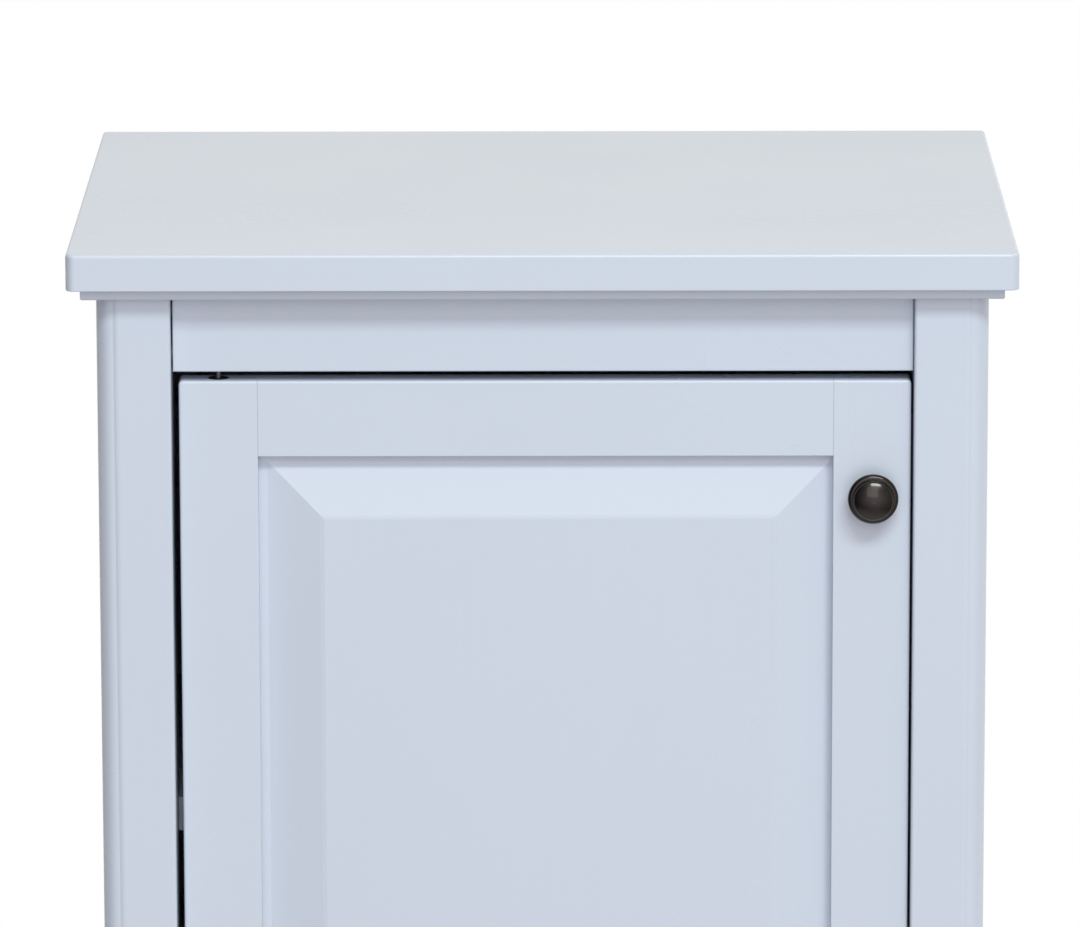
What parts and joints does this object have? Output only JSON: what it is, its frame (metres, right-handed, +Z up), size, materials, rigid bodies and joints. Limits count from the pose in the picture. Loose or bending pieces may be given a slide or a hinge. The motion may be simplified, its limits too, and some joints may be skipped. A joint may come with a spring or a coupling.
{
  "type": "linen cabinet",
  "caption": "Free-standing white wooden linen cabinet with square legs, an overhanging top, an inset raised-panel door on pivot pins, a round dark knob and shelves inside.",
  "frame": {"origin": "on the floor, under the middle of the top board", "axes": "+Z up; -Y out of the front, which holds the door; +X to the right of someone facing the door"},
  "size_m": [0.508, 0.381, 0.864],
  "materials": {
    "white_lacquer": "satin white lacquer on wood",
    "white_backing": "thin white-faced board",
    "beech": "bare beech",
    "dark_bronze": "polished dark bronze plating",
    "zinc_steel": "zinc plated",
    "nickel_pin": "nickel plated",
    "grey_nylon": "moulded nylon",
    "black_nylon": "moulded black nylon",
    "brown_plastic": "moulded plastic",
    "ferrite": "sintered ferrite"
  },
  "bodies": {
    "carcass": {"top_board": "white_lacquer", "moulding_front": "white_lacquer", "moulding_rear": "white_lacquer", "moulding_left": "white_lacquer", "moulding_right": "white_lacquer", "post_front_left": "white_lacquer", "post_front_right": "white_lacquer", "post_rear_left": "white_lacquer", "post_rear_right": "white_lacquer", "foot_glides": "grey_nylon", "glide_nails": "zinc_steel", "rail_front_top": "white_lacquer", "rail_front_bottom": "white_lacquer", "rail_rear_top": "white_lacquer", "rail_rear_bottom": "white_lacquer", "rail_dowels": "beech", "side_panel_left": "white_lacquer", "side_panel_right": "white_lacquer", "back_panel": "white_backing", "back_nails": "zinc_steel", "floor_panel": "white_lacquer", "top_cleat_left": "white_lacquer", "top_cleat_right": "white_lacquer", "top_cleat_front": "white_lacquer", "floor_cleat_left": "white_lacquer", "floor_cleat_right": "white_lacquer", "floor_cleat_front": "white_lacquer", "cleat_screws": "zinc_steel", "top_screws": "zinc_steel", "upper_shelf": "white_lacquer", "lower_shelf": "white_lacquer", "upper_shelf_pins": "nickel_pin", "lower_shelf_pins": "nickel_pin", "pivot_pin_top": "zinc_steel", "pivot_pin_bottom": "zinc_steel", "catch_housing": "brown_plastic", "catch_poles": "zinc_steel", "catch_magnet": "ferrite", "catch_screws": "zinc_steel"},
    "door": {"door_stile_left": "white_lacquer", "door_stile_right": "white_lacquer", "door_rail_top": "white_lacquer", "door_rail_bottom": "white_lacquer", "door_panel": "white_lacquer", "knob": "dark_bronze", "knob_screw": "zinc_steel", "strike_plate": "zinc_steel", "strike_screw": "zinc_steel", "pivot_bush_top": "black_nylon", "pivot_bush_bottom": "black_nylon"}
  },
  "joints": [
    {"name": "door_hinge", "type": "hinge", "parent": "carcass", "child": "door", "pos_m": [-0.1741, -0.1595, 0.4578], "axis": [0, 0, -1], "range_deg": [0, 125]}
  ]
}
